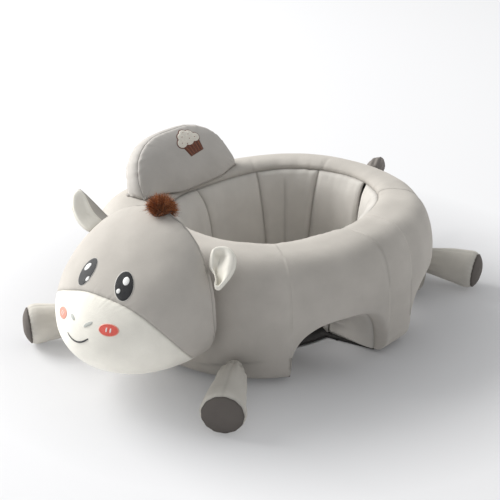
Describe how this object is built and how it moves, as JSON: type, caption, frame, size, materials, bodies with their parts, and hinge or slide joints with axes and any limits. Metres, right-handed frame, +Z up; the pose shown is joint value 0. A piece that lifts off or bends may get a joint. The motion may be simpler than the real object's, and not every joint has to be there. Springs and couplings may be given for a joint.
{
  "type": "plush floor seat",
  "caption": "Stuffed ring seat for a sitting baby, with leg arches, a tipping headrest, and a calf head, splayed legs and tail sewn round it.",
  "frame": {"origin": "middle of the seat well, on the floor", "axes": "+Z up, -Y the way the sitter faces, -X towards the head, +X towards the tail"},
  "size_m": [0.7159, 0.4512, 0.2526],
  "materials": {
    "stuffing": "matte",
    "plush_grey": "short velvet pile",
    "plush_leg": "short velvet pile",
    "plush_dark": "short velvet pile",
    "plush_white": "short velvet pile",
    "thread_black": "satin stitch",
    "thread_coral": "satin stitch",
    "thread_grey": "satin stitch",
    "fur_brown": "long pile",
    "thread_brown": "satin stitch",
    "thread_cream": "satin stitch",
    "base_fabric": "matte woven with grip dots",
    "zip_tape": "matte woven",
    "zip_coil": "satin",
    "zip_metal": "satin"
  },
  "bodies": {
    "seat": {"ring_cover": "plush_grey", "arch_liner_head_side": "plush_grey", "arch_liner_tail_side": "plush_grey", "ring_stuffing": "stuffing", "lining_front": "plush_grey", "lining_tail_side": "plush_grey", "lining_tail_corner": "plush_grey", "lining_back": "plush_grey", "lining_head_corner": "plush_grey", "lining_head_side": "plush_grey", "seat_pad": "plush_grey", "base_pad": "base_fabric", "zip_tapes": "zip_tape", "zip_coil": "zip_coil", "head_panel": "plush_grey", "muzzle_panel": "plush_white", "nape_panel": "plush_grey", "head_stuffing": "stuffing", "eye_left": "thread_black", "eye_right": "thread_black", "eye_glints": "plush_white", "cheek_left": "thread_coral", "cheek_right": "thread_coral", "nostrils": "thread_grey", "mouth_stitch": "thread_black", "fur_tuft": "fur_brown"},
    "zip_slider": {"zip_slider": "zip_metal", "zip_pull": "zip_metal"},
    "ear_left": {"ear_left_back": "plush_grey", "ear_left_lining": "plush_white"},
    "ear_right": {"ear_right_back": "plush_grey", "ear_right_lining": "plush_white"},
    "headrest": {"headrest_front": "plush_grey", "headrest_gusset": "plush_grey", "headrest_back": "plush_grey", "headrest_stuffing": "stuffing", "patch_cup": "thread_brown", "patch_cream": "thread_cream"},
    "tail": {"tail_cover": "plush_grey", "tail_tuft": "plush_dark", "tail_stuffing": "stuffing"},
    "foreleg_left": {"foreleg_left_cover": "plush_leg", "foreleg_left_sole": "plush_dark", "foreleg_left_stuffing": "stuffing"},
    "foreleg_right": {"foreleg_right_cover": "plush_leg", "foreleg_right_sole": "plush_dark", "foreleg_right_stuffing": "stuffing"},
    "hindleg_left": {"hindleg_left_cover": "plush_leg", "hindleg_left_sole": "plush_dark", "hindleg_left_stuffing": "stuffing"},
    "hindleg_right": {"hindleg_right_cover": "plush_leg", "hindleg_right_sole": "plush_dark", "hindleg_right_stuffing": "stuffing"}
  },
  "joints": [
    {"name": "foreleg_left_lift", "type": "hinge", "parent": "seat", "child": "foreleg_left", "pos_m": [-0.23717, -0.12085, 0.035], "axis": [-0.5592, 0.829, 0], "range_deg": [0, 32], "stiffness_Nm_per_rad": 0.05},
    {"name": "foreleg_right_lift", "type": "hinge", "parent": "seat", "child": "foreleg_right", "pos_m": [-0.24679, 0.12575, 0.035], "axis": [0.5592, 0.829, 0], "range_deg": [0, 32], "stiffness_Nm_per_rad": 0.05},
    {"name": "hindleg_left_lift", "type": "hinge", "parent": "seat", "child": "hindleg_left", "pos_m": [0.20267, -0.11234, 0.035], "axis": [-0.9511, -0.309, 0], "range_deg": [0, 32], "stiffness_Nm_per_rad": 0.05},
    {"name": "hindleg_right_lift", "type": "hinge", "parent": "seat", "child": "hindleg_right", "pos_m": [0.20085, 0.10679, 0.035], "axis": [0.866, -0.5, 0], "range_deg": [0, 32], "stiffness_Nm_per_rad": 0.05},
    {"name": "tail_swing", "type": "hinge", "parent": "seat", "child": "tail", "pos_m": [0.21912, 0.02303, 0.098], "axis": [0, 0, 1], "range_deg": [-30, 30], "stiffness_Nm_per_rad": 0.02},
    {"name": "ear_left_fold", "type": "hinge", "parent": "seat", "child": "ear_left", "pos_m": [-0.2595, -0.08932, 0.20125], "axis": [0.8895, -0.0998, -0.4458], "range_deg": [-15, 5], "stiffness_Nm_per_rad": 0.01},
    {"name": "ear_right_fold", "type": "hinge", "parent": "seat", "child": "ear_right", "pos_m": [-0.2618, 0.0921, 0.19228], "axis": [0.9674, -0.131, 0.2169], "range_deg": [-10, 9], "stiffness_Nm_per_rad": 0.01},
    {"name": "headrest_tip", "type": "hinge", "parent": "seat", "child": "headrest", "pos_m": [-0.039, 0.135, 0.1645], "axis": [0.9986, 0.0428, -0.0298], "range_deg": [0, 20], "stiffness_Nm_per_rad": 0.3},
    {"name": "zip_slide", "type": "slide", "parent": "seat", "child": "zip_slider", "axis": [0, 1, 0], "range_m": [0, 0.118]}
  ]
}
